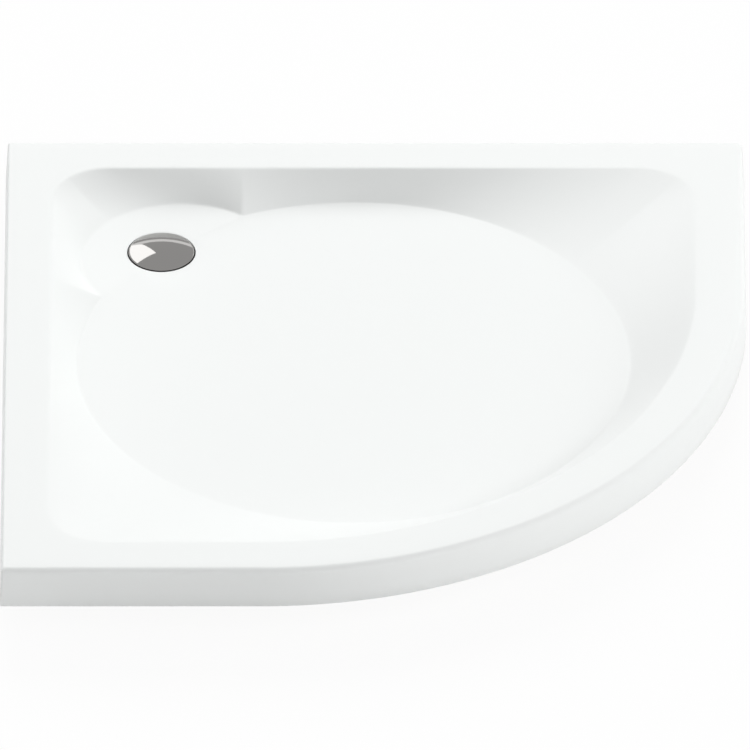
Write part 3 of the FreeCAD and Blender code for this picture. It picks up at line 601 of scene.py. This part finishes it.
# Foot spindles and lock nuts
# Turned steel spindles with an M12 thread of 1.75 mm pitch, zinc plated. A spanner on the hexagon screws
# one up or down in its socket, and the nut is then run up against the socket to lock it.
THREAD_CREST, THREAD_ROOT, PITCH, THREAD_TURNS, THREAD_STEPS = 5.95, 4.95, 1.75, 25, 24
JOURNAL, SPANNER_FLATS, NUT_FLATS, NUT_BORE = 5.0, 17.0, 19.0, 6.1
spindle_low, spindle_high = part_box("foot_spindle_1")
nut_low, nut_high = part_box("lock_nut_1")
JOURNAL_Z, SPINDLE_TOP = spindle_low.z / MM, spindle_high.z / MM
NUT_Z, NUT_TOP = nut_low.z / MM, nut_high.z / MM
NUT_CHAMFER = 0.8
SPANNER_Z = JOURNAL_Z + 7.0
SPANNER_TOP = SPANNER_Z + 6.0
BAR_STEPS, CHAMFER_SHARE, CHAMFER_SLOPE = 72, 0.48, math.sqrt(3)


# The outside of a hexagon bar as rings from low to high, its corners turned down at 30 degrees at both ends.
def hexagon_rings(flats, low, high):
    rings = []
    turn = np.arange(BAR_STEPS) * 2 * math.pi / BAR_STEPS
    reach = flats / 2 / np.cos(turn % (math.pi / 3) - math.pi / 6)
    chamfer = [0, 0.3, 0.6, 0.9, 1.2]
    for rise in chamfer + [high - low - drop for drop in reversed(chamfer)]:
        limit = flats * CHAMFER_SHARE + min(rise, high - low - rise) * CHAMFER_SLOPE
        radius = np.minimum(reach, limit)
        height = np.full(BAR_STEPS, low + rise)
        rings.append(np.column_stack([radius * np.cos(turn), radius * np.sin(turn), height]) * MM)
    return rings


journal = ((END_HOLE, JOURNAL_Z), (JOURNAL - 0.7, JOURNAL_Z), (JOURNAL, JOURNAL_Z + 0.7),
           (JOURNAL, SPANNER_Z))
neck = ((THREAD_ROOT, SPANNER_TOP), (THREAD_ROOT, SPANNER_TOP + 1), (END_HOLE, SPANNER_TOP + 1))
rings = [turned_ring(0, 0, radius, z, BAR_STEPS) for radius, z in journal]
rings += hexagon_rings(SPANNER_FLATS, SPANNER_Z, SPANNER_TOP)
rings += [turned_ring(0, 0, radius, z, BAR_STEPS) for radius, z in neck]
spindle = skin("spindle_model", rings)
close_ends(spindle)
# The outline of one turn of the thread, left open towards the core, is wound up the spindle.
bpy.ops.object.select_all(action="DESELECT")
bpy.ops.mesh.primitive_circle_add(vertices=4, radius=0.01)
thread = bpy.context.object
bpy.ops.object.mode_set(mode="EDIT")
mesh = bmesh.from_edit_mesh(thread.data)
mesh.verts.ensure_lookup_table()
thread_z = SPINDLE_TOP - (THREAD_TURNS + 1) * PITCH
thread_outline = ((THREAD_ROOT, 0), (THREAD_CREST, 7 / 16), (THREAD_CREST, 9 / 16), (THREAD_ROOT, 1))
for vertex, (radius, rise) in zip(mesh.verts, thread_outline):
    vertex.co = (radius * MM, 0, (thread_z + rise * PITCH) * MM)
last = [edge for edge in mesh.edges if {edge.verts[0].index, edge.verts[1].index} == {0, 3}]
bmesh.ops.delete(mesh, geom=last, context="EDGES")
bmesh.update_edit_mesh(thread.data)
bpy.ops.object.mode_set(mode="OBJECT")
wind = thread.modifiers.new("wind", "SCREW")
wind.screw_offset, wind.iterations = PITCH * MM, THREAD_TURNS
wind.steps = wind.render_steps = THREAD_STEPS
bpy.ops.object.modifier_apply(modifier="wind")
merge_points()
close_ends(thread)
spindle = join([spindle, thread])
spindle.data.materials.append(zinc)

bore_foot = ((NUT_BORE, NUT_Z + NUT_CHAMFER), (NUT_BORE + NUT_CHAMFER, NUT_Z))
bore_head = ((NUT_BORE + NUT_CHAMFER, NUT_TOP), (NUT_BORE, NUT_TOP - NUT_CHAMFER))
rings = [turned_ring(0, 0, radius, z, BAR_STEPS) for radius, z in bore_foot]
rings += hexagon_rings(NUT_FLATS, NUT_Z, NUT_TOP)
rings += [turned_ring(0, 0, radius, z, BAR_STEPS) for radius, z in bore_head]
rings.append(rings[0])
nut = skin("nut_model", rings)
nut.data.materials.append(zinc)
for number, foot in enumerate(foot_places, 1):
    piece = copy_of(spindle, "threaded_spindle_" + str(number), 0, foot)
    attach(piece, "spindle_" + str(number))
    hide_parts("foot_spindle_" + str(number))
    piece = copy_of(nut, "hexagon_nut_" + str(number), 0, foot)
    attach(piece, "tray")
    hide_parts("lock_nut_" + str(number))
bpy.data.objects.remove(spindle)
bpy.data.objects.remove(nut)

# Foot pads
# Round pads of the same black polypropylene. Each stands on the floor, and the journal of its spindle turns
# in its hub.
PAD_RADIUS, PAD_RIM, PAD_HUB, PAD_HEIGHT, PAD_BORE, PAD_FLOOR = 30.0, 5.0, 12.0, 11.0, 5.05, 4.0
PAD_STEPS = 96
profile = [(END_HOLE, 0.6), (21.0, 0.6), (21.4, 0.0), (PAD_RADIUS - 1.2, 0.0), (PAD_RADIUS - 0.4, 0.3),
           (PAD_RADIUS, 1.1), (PAD_RADIUS, PAD_RIM - 1.0), (PAD_RADIUS - 0.3, PAD_RIM - 0.3),
           (PAD_RADIUS - 1.0, PAD_RIM), (PAD_RADIUS - 2.4, PAD_RIM + 0.2), (23.0, 6.3), (18.0, 7.6),
           (14.6, 8.9), (PAD_HUB + 0.3, PAD_HEIGHT - 1.0), (PAD_HUB - 0.2, PAD_HEIGHT - 0.3),
           (PAD_HUB - 0.9, PAD_HEIGHT), (PAD_BORE + 0.6, PAD_HEIGHT), (PAD_BORE, PAD_HEIGHT - 0.6),
           (PAD_BORE, PAD_FLOOR), (END_HOLE, PAD_FLOOR)]
pad = skin("pad_model", [turned_ring(0, 0, radius, z, PAD_STEPS) for radius, z in profile])
close_ends(pad)
pad.data.materials.append(black_plastic)
for number, foot in enumerate(foot_places, 1):
    piece = copy_of(pad, "moulded_pad_" + str(number), 0, foot)
    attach(piece, "pad_" + str(number))
    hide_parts("foot_pad_" + str(number))
bpy.data.objects.remove(pad)

# Waste, trap and outlet
# A low trap moulded from light grey polypropylene hangs under the waste hole, where the flange above screws
# into it and squeezes the tray between two rubber gaskets. A union nut holds the outlet's spigot.
TRAP_EDGE, SHARP_ANGLE, FLAT_ANGLE = 0.5, math.radians(40), math.radians(0.5)


# A moulded piece from its CAD shape: a copy whose sharp edges are rounded a little, as a mould leaves them.
def eased(node, name, body, material):
    bpy.ops.object.select_all(action="DESELECT")
    piece = bpy.data.objects.new(name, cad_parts[node].data.copy())
    piece.data.name = name
    bpy.context.scene.collection.objects.link(piece)
    bpy.context.view_layer.objects.active = piece
    piece.select_set(True)
    bpy.ops.mesh.customdata_custom_splitnormals_clear()
    bpy.ops.object.mode_set(mode="EDIT")
    bpy.ops.mesh.select_all(action="SELECT")
    bpy.ops.mesh.remove_doubles(threshold=POINT_GAP)
    bpy.ops.mesh.dissolve_limited(angle_limit=FLAT_ANGLE)
    bpy.ops.object.mode_set(mode="OBJECT")
    edge = piece.modifiers.new("edge", "BEVEL")
    edge.width, edge.segments = TRAP_EDGE * MM, 2
    edge.limit_method, edge.angle_limit = "ANGLE", SHARP_ANGLE
    bpy.ops.object.modifier_apply(modifier="edge")
    merge_points()
    bpy.ops.object.shade_smooth_by_angle(angle=SHARP_ANGLE)
    piece.data.materials.clear()
    piece.data.materials.append(material)
    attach(piece, body)
    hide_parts(node)


# Light grey polypropylene: satin, a little cloudy in the mass, with the same mould grain.
grey_plastic, tree, shader, place = finish_of("grey_polypropylene", {"IOR": 1.49})
cloud = add_node(tree, "ShaderNodeTexNoise", {}, {"Scale": 1 / 0.03, "Detail": 3.0}, {"Vector": place})
tone = add_node(tree, "ShaderNodeMix", {"data_type": "RGBA"}, {6: colour("c6c9cb"), 7: colour("d8dadb")},
                {0: cloud.outputs[0]})
tree.links.new(tone.outputs[2], shader.inputs["Base Color"])
grain = add_node(tree, "ShaderNodeTexNoise", {}, {"Scale": 1 / 0.0008, "Detail": 2.0}, {"Vector": place})
bump = add_node(tree, "ShaderNodeBump", {}, {"Strength": 0.2, "Distance": 0.0002},
                {"Height": grain.outputs[0]})
tree.links.new(bump.outputs[0], shader.inputs["Normal"])
gloss = add_node(tree, "ShaderNodeMapRange", {}, {"To Min": 0.32, "To Max": 0.48},
                 {"Value": cloud.outputs[0]})
tree.links.new(gloss.outputs[0], shader.inputs["Roughness"])

# Moulded rubber: matt black with a dry bloom that greys it in patches about 10 mm across.
rubber, tree, shader, place = finish_of("moulded_rubber", {"IOR": 1.5, "Roughness": 0.68})
bloom = add_node(tree, "ShaderNodeTexNoise", {}, {"Scale": 1 / 0.01, "Detail": 4.0}, {"Vector": place})
tone = add_node(tree, "ShaderNodeMix", {"data_type": "RGBA"}, {6: colour("141414"), 7: colour("2b2b2c")},
                {0: bloom.outputs[0]})
tree.links.new(tone.outputs[2], shader.inputs["Base Color"])
grain = add_node(tree, "ShaderNodeTexNoise", {}, {"Scale": 1 / 0.001, "Detail": 1.0}, {"Vector": place})
bump = add_node(tree, "ShaderNodeBump", {}, {"Strength": 0.2, "Distance": 0.0001},
                {"Height": grain.outputs[0]})
tree.links.new(bump.outputs[0], shader.inputs["Normal"])
for node, name in (("waste_flange", "moulded_flange"), ("trap_body", "moulded_trap"),
                   ("outlet_spigot", "moulded_spigot"), ("union_nut", "fluted_union_nut")):
    eased(node, name, "tray", grey_plastic)
for node in ("body_gasket", "outlet_seal"):
    dress(node, rubber)
# The gasket's black rubber is carried up over the flange's edge as a lip. This dark lip is painted shade: it
# stands for the shade in the gap round the cover.
gasket_low, gasket_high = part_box("flange_gasket")
GASKET_X, GASKET_Y = (gasket_low.x + gasket_high.x) / 2 / MM, (gasket_low.y + gasket_high.y) / 2 / MM
GASKET_Z, GASKET_TOP = gasket_low.z / MM, gasket_high.z / MM
flange_low, flange_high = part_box("waste_flange")
FLANGE_RADIUS, FLANGE_Z = (flange_high.x - flange_low.x) / 2 / MM, flange_high.z / MM
SHADE_LIP_RADIUS, GASKET_STEPS = 35.0, 96
profile = [(WASTE_HOLE, GASKET_Z), (PAN_RADIUS - 1.7, GASKET_Z), (PAN_RADIUS - 0.3, GASKET_Z + 0.3),
           (PAN_RADIUS - 0.1, GASKET_Z + 0.9), (PAN_RADIUS - 0.1, FLANGE_Z),
           (PAN_RADIUS - 0.4, FLANGE_Z + 0.7), (PAN_RADIUS - 1.2, FLANGE_Z + 1.0),
           (SHADE_LIP_RADIUS + 0.6, FLANGE_Z + 1.0), (SHADE_LIP_RADIUS + 0.1, FLANGE_Z + 0.8),
           (SHADE_LIP_RADIUS, FLANGE_Z), (FLANGE_RADIUS + 0.1, FLANGE_Z), (FLANGE_RADIUS + 0.1, GASKET_TOP),
           (WASTE_HOLE, GASKET_TOP), (WASTE_HOLE, GASKET_Z)]
rings = [turned_ring(GASKET_X, GASKET_Y, radius, z, GASKET_STEPS) for radius, z in profile]
gasket = skin("gasket_with_shade_lip", rings)
gasket.data.materials.append(rubber)
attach(gasket, "tray")
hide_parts("flange_gasket")

# Insert
# The dip tube and its seal cup are moulded from the same grey polypropylene and lift out together for
# cleaning. The tube's collar carries a round rubber ring that seals it in the flange.
for node, name in (("dip_tube", "moulded_dip_tube"), ("seal_cup", "moulded_seal_cup")):
    eased(node, name, "trap_insert", grey_plastic)
dress("throat_seal", rubber)

# Waste cover
# A shallow dome pressed from thin brass sheet, its edge turned down, polished and chromed. It lies loose
# over the waste and lifts off with the plastic stem that is bonded under it.
cap_low, cap_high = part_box("waste_cap")
CAP_X, CAP_Y = (cap_low.x + cap_high.x) / 2 / MM, (cap_low.y + cap_high.y) / 2 / MM
CAP_RADIUS, CAP_RISE, CAP_SHEET, CAP_MIDDLE, CAP_LIP = 40.2, 6.0, 0.5, 1.1, 0.6
CAP_STEPS = 128
CAP_EDGE_Z = cap_high.z / MM - CAP_RISE
CAP_LOW_Z = CAP_EDGE_Z - CAP_LIP
eased("cap_stem", "moulded_stem", "waste_cover", grey_plastic)


def dome_height(radius):
    sphere = (CAP_RADIUS ** 2 + CAP_RISE ** 2) / (2 * CAP_RISE)
    return CAP_EDGE_Z + CAP_RISE - sphere + math.sqrt(sphere ** 2 - radius ** 2)


# From the middle of the inside, which is filled out to meet the stem, round the edge and up over the dome.
profile = []
inner = CAP_RADIUS - CAP_SHEET
for radius in (0.4, 6, 12, 18, 24, 29, 33, 36.5, 38.4, inner - 0.2):
    profile.append((radius, dome_height(radius) - CAP_SHEET - CAP_MIDDLE * (1 - (radius / inner) ** 2)))
profile += [(inner, CAP_LOW_Z + 0.1), (inner + 0.1, CAP_LOW_Z), (CAP_RADIUS - 0.2, CAP_LOW_Z),
            (CAP_RADIUS, CAP_LOW_Z + 0.15), (CAP_RADIUS - 0.08, CAP_LOW_Z + 0.3),
            (CAP_RADIUS - 0.36, CAP_EDGE_Z - 0.15), (CAP_RADIUS - 0.6, CAP_EDGE_Z - 0.02)]
for radius in (39.3, 38.6, 37, 35, 32, 28, 23, 18, 12, 6, 0.4):
    profile.append((radius, dome_height(radius)))
cap = skin("chromed_cover", [turned_ring(CAP_X, CAP_Y, radius, z, CAP_STEPS) for radius, z in profile])
close_ends(cap)

# Bright chrome plate: a mirror with hardly any haze, and faint wiping marks a few millimetres apart.
chrome, tree, shader, place = finish_of("chrome_plate", {"Metallic": 1.0, "Base Color": colour("c3c1bf")})
marks = add_node(tree, "ShaderNodeTexNoise", {}, {"Scale": 1 / 0.004, "Detail": 2.0}, {"Vector": place})
gloss = add_node(tree, "ShaderNodeMapRange", {}, {"To Min": 0.03, "To Max": 0.06},
                 {"Value": marks.outputs[0]})
tree.links.new(gloss.outputs[0], shader.inputs["Roughness"])
cap.data.materials.append(chrome)
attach(cap, "waste_cover")
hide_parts("waste_cap")

# Floor, light and camera
# A pale paper floor and surround that are white to the camera and in the gloss of the tray. The floor keeps
# the tray's shadow. The light is plain and soft, from large lamps far away.
PAPER_WHITE, PAPER_SIZE = 0.94, 60.0


# What is seen straight, in a mirror or through glass, as 1, and what only lights other surfaces, as 0.
def seen_straight(tree):
    rays = add_node(tree, "ShaderNodeLightPath")
    mirrored = add_node(tree, "ShaderNodeMath", {"operation": "MAXIMUM"}, {},
                        {0: rays.outputs["Is Glossy Ray"], 1: rays.outputs["Is Transmission Ray"]})
    return add_node(tree, "ShaderNodeMath", {"operation": "MAXIMUM"}, {},
                    {0: rays.outputs["Is Camera Ray"], 1: mirrored.outputs[0]}).outputs[0]


bpy.ops.object.select_all(action="DESELECT")
bpy.ops.mesh.primitive_plane_add(size=PAPER_SIZE)
ground = bpy.context.object
ground.name = "pale_floor"
paper = bpy.data.materials.new("white_paper_floor")
paper.use_nodes = True
tree = paper.node_tree
tree.nodes.clear()
# The paper is greyer behind the tray, which keeps its bounce from bleaching the wall side.
place = add_node(tree, "ShaderNodeTexCoord").outputs["Object"]
across = add_node(tree, "ShaderNodeSeparateXYZ", {}, {}, {0: place})
behind = add_node(tree, "ShaderNodeMapRange", {}, {"From Min": 0.45, "From Max": 0.55},
                  {"Value": across.outputs[1]})
straight = seen_straight(tree)
unseen = add_node(tree, "ShaderNodeMath", {"operation": "SUBTRACT", "use_clamp": True}, {},
                  {0: behind.outputs[0], 1: straight})
tone = add_node(tree, "ShaderNodeMix", {"data_type": "RGBA"}, {6: colour("f0f0f0"), 7: colour("8c8c8c")},
                {0: unseen.outputs[0]})
matt = add_node(tree, "ShaderNodeBsdfDiffuse", {}, {}, {"Color": tone.outputs[2]})
glow = add_node(tree, "ShaderNodeEmission", {}, {"Strength": 1.0})
share = add_node(tree, "ShaderNodeMath", {"operation": "MULTIPLY"}, {1: PAPER_WHITE}, {0: straight})
mix = add_node(tree, "ShaderNodeMixShader", {}, {},
               {0: share.outputs[0], 1: matt.outputs[0], 2: glow.outputs[0]})
add_node(tree, "ShaderNodeOutputMaterial", {}, {}, {"Surface": mix.outputs[0]})
ground.data.materials.append(paper)
ground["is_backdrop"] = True

world = bpy.data.worlds.new("studio")
bpy.context.scene.world = world
world.use_nodes = True
tree = world.node_tree
tree.nodes.clear()
white = add_node(tree, "ShaderNodeBackground", {}, {"Color": colour("ffffff"), "Strength": 1.0})
dark = add_node(tree, "ShaderNodeBackground", {}, {"Strength": 0.0})
mix = add_node(tree, "ShaderNodeMixShader", {}, {},
               {0: seen_straight(tree), 1: dark.outputs[0], 2: white.outputs[0]})
add_node(tree, "ShaderNodeOutputWorld", {}, {}, {"Surface": mix.outputs[0]})


# Where a turn from the right-hand side and a height, both in degrees, point to at a distance in metres.
def far_place(turn, rise, distance):
    turn, rise = math.radians(turn), math.radians(rise)
    level = math.cos(rise)
    return Vector((math.cos(turn) * level, math.sin(turn) * level, math.sin(rise))) * distance


LAMP_DISTANCE = 20.0


# A large square lamp far enough away to light all of the tray alike, at a turn and a height in degrees.
def softbox(name, turn, rise, size, watts):
    lamp = bpy.data.lights.new(name, "AREA")
    lamp.size = size
    lamp.energy = watts
    piece = bpy.data.objects.new(name, lamp)
    bpy.context.scene.collection.objects.link(piece)
    piece.location = far_place(turn, rise, LAMP_DISTANCE)
    piece.rotation_euler = (-piece.location).to_track_quat("-Z", "Y").to_euler()
    piece.visible_camera = piece.visible_glossy = False


softbox("back_softbox", 90, 40, 12.0, 3050)
softbox("back_left_softbox", 135, 24, 10.0, 1230)
softbox("right_softbox", 0, 20, 8.0, 1650)
softbox("front_right_softbox", -42, 40, 12.0, 1190)
softbox("front_softbox", -105, 40, 12.0, 1110)


# A glowing face that lights nothing and only shows in the gloss.
def show_in_gloss(piece, name, hex_value, strength):
    glow_material = bpy.data.materials.new(name)
    glow_material.use_nodes = True
    tree = glow_material.node_tree
    tree.nodes.clear()
    glow = add_node(tree, "ShaderNodeEmission", {}, {"Color": colour(hex_value), "Strength": strength})
    add_node(tree, "ShaderNodeOutputMaterial", {}, {}, {"Surface": glow.outputs[0]})
    piece.name = name
    piece.data.materials.append(glow_material)
    piece.visible_camera = piece.visible_diffuse = piece.visible_shadow = False
    piece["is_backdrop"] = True


# A bright panel over the back wall to the left, by the directions of its corners.
PANEL_DISTANCE, PANEL_STRENGTH = 24.0, 1.75
PANEL_CORNERS = ((96.2, 43.3), (102.0, 24.3), (107.5, 19.5), (116.5, 33.5), (126.0, 44.0), (126.0, 51.0))
bpy.ops.object.select_all(action="DESELECT")
bpy.ops.mesh.primitive_circle_add(vertices=len(PANEL_CORNERS), fill_type="NGON")
panel = bpy.context.object
for vertex, (turn, rise) in zip(panel.data.vertices, PANEL_CORNERS):
    vertex.co = far_place(turn, rise, PANEL_DISTANCE)
show_in_gloss(panel, "bright_panel", "ffffff", PANEL_STRENGTH)

# A grey ceiling and a grey band low round the studio, with the white surround between and below them.
STUDIO_RADIUS, STUDIO_GREY = 27.0, "b4b4b4"
for name, low_rise, high_rise in (("grey_ceiling", 23.3, 90), ("grey_band", 12, 18.4)):
    low_cut, high_cut = (far_place(0, rise, STUDIO_RADIUS) for rise in (low_rise, high_rise))
    bpy.ops.object.select_all(action="DESELECT")
    bpy.ops.mesh.primitive_uv_sphere_add(segments=48, ring_count=24, radius=STUDIO_RADIUS)
    bpy.ops.object.mode_set(mode="EDIT")
    bpy.ops.mesh.bisect(plane_co=low_cut, plane_no=(0, 0, 1), clear_inner=True)
    bpy.ops.mesh.select_all(action="SELECT")
    bpy.ops.mesh.bisect(plane_co=high_cut, plane_no=(0, 0, 1), clear_outer=True)
    bpy.ops.object.mode_set(mode="OBJECT")
    show_in_gloss(bpy.context.object, name, STUDIO_GREY, 1.0)

# A long lens far away, so that the tray's sides stay as good as parallel. It aims a little in front of the
# tray's middle and just below the rim.
VIEW_RISE = math.radians(35.35)
LENS, SENSOR, VIEW_WIDTH, FAR_LIMIT = 1650.0, 36.0, 0.9109, 200.0
AIM_FORWARD, AIM_DROP = 0.0392, 0.003
aim = (0.0, -AIM_FORWARD, RIM_Z * MM - AIM_DROP)
reach = VIEW_WIDTH * LENS / SENSOR
lens = bpy.data.cameras.new("camera")
lens.lens = LENS
lens.sensor_width = SENSOR
lens.clip_end = FAR_LIMIT
camera = bpy.data.objects.new("camera", lens)
bpy.context.scene.collection.objects.link(camera)
camera.location = (aim[0], aim[1] - reach * math.cos(VIEW_RISE), aim[2] + reach * math.sin(VIEW_RISE))
camera.rotation_euler = (math.pi / 2 - VIEW_RISE, 0, 0)
bpy.context.scene.camera = camera
bpy.context.scene.view_settings.view_transform = "Standard"

low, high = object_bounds()
